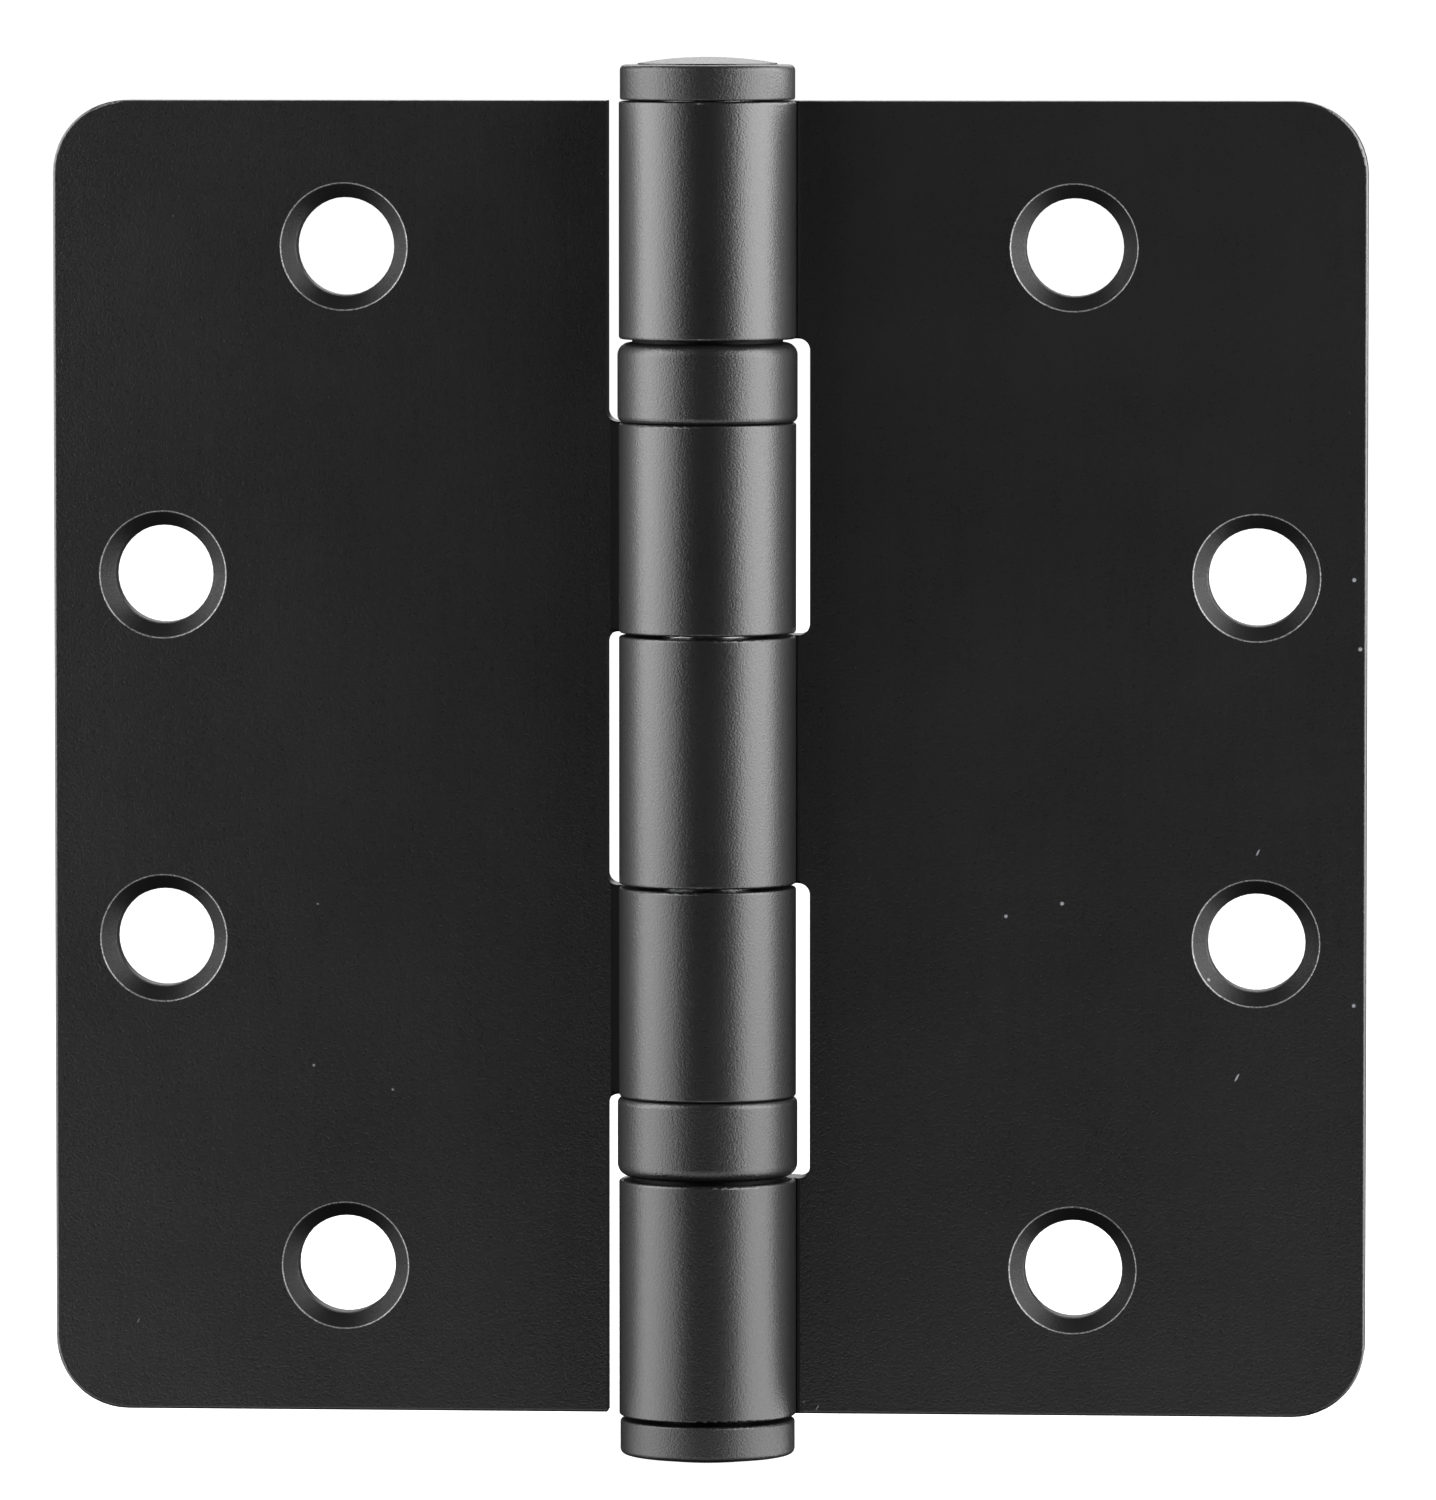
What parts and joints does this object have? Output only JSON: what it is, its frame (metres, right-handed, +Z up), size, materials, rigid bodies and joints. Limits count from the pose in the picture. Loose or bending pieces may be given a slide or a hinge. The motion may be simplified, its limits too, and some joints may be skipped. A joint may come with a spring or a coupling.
{
  "type": "butt hinge",
  "caption": "Door hinge with flat swaged leaves on a loose pin, ball bearings between the knuckles, rounded corners and countersunk screw holes.",
  "frame": {"origin": "on the pin's axis at half the height of the leaves", "axes": "+Z up the pin, +X towards the outer edge of the frame leaf, +Y through the open leaves from their countersunk faces to their backs"},
  "size_m": [0.1142, 0.0156, 0.1221],
  "materials": {
    "leaf_coating": "satin black coating on steel",
    "tip_coating": "satin black coating on steel",
    "case_coating": "satin black coating on steel",
    "pin_steel": "drawn steel, fluted under the head",
    "race_steel": "hardened, black oxide",
    "ball_steel": "polished",
    "retainer_nylon": "moulded nylon"
  },
  "bodies": {
    "frame": {"frame_leaf": "leaf_coating", "bottom_button_tip": "tip_coating", "upper_bearing_frame_race": "race_steel", "lower_bearing_frame_race": "race_steel"},
    "door": {"door_leaf": "leaf_coating", "upper_bearing_case": "case_coating", "lower_bearing_case": "case_coating", "upper_bearing_door_race": "race_steel", "lower_bearing_door_race": "race_steel"},
    "pin": {"hinge_pin": "pin_steel", "top_button_tip": "tip_coating"},
    "upper_balls": {"upper_ball_retainer": "retainer_nylon", "upper_ball_01": "ball_steel", "upper_ball_02": "ball_steel", "upper_ball_03": "ball_steel", "upper_ball_04": "ball_steel", "upper_ball_05": "ball_steel", "upper_ball_06": "ball_steel", "upper_ball_07": "ball_steel", "upper_ball_08": "ball_steel", "upper_ball_09": "ball_steel", "upper_ball_10": "ball_steel", "upper_ball_11": "ball_steel", "upper_ball_12": "ball_steel"},
    "lower_balls": {"lower_ball_retainer": "retainer_nylon", "lower_ball_01": "ball_steel", "lower_ball_02": "ball_steel", "lower_ball_03": "ball_steel", "lower_ball_04": "ball_steel", "lower_ball_05": "ball_steel", "lower_ball_06": "ball_steel", "lower_ball_07": "ball_steel", "lower_ball_08": "ball_steel", "lower_ball_09": "ball_steel", "lower_ball_10": "ball_steel", "lower_ball_11": "ball_steel", "lower_ball_12": "ball_steel"}
  },
  "joints": [
    {"name": "leaf_swing", "type": "hinge", "parent": "frame", "child": "door", "pos_m": [0, 0, 0], "axis": [0, 0, 1], "range_deg": [-90, 180]},
    {"name": "pin_lift", "type": "slide", "parent": "frame", "child": "pin", "axis": [0, 0, 1], "range_m": [0, 0.112]},
    {"name": "upper_balls_orbit", "type": "hinge", "parent": "frame", "child": "upper_balls", "pos_m": [0, 0, 0.03275], "axis": [0, 0, 1], "range_deg": [-45, 90]},
    {"name": "lower_balls_orbit", "type": "hinge", "parent": "frame", "child": "lower_balls", "pos_m": [0, 0, -0.03275], "axis": [0, 0, 1], "range_deg": [-45, 90]}
  ],
  "couplings": [
    {"joint": "upper_balls_orbit", "follows": "leaf_swing", "ratio": 0.5},
    {"joint": "lower_balls_orbit", "follows": "leaf_swing", "ratio": 0.5}
  ]
}
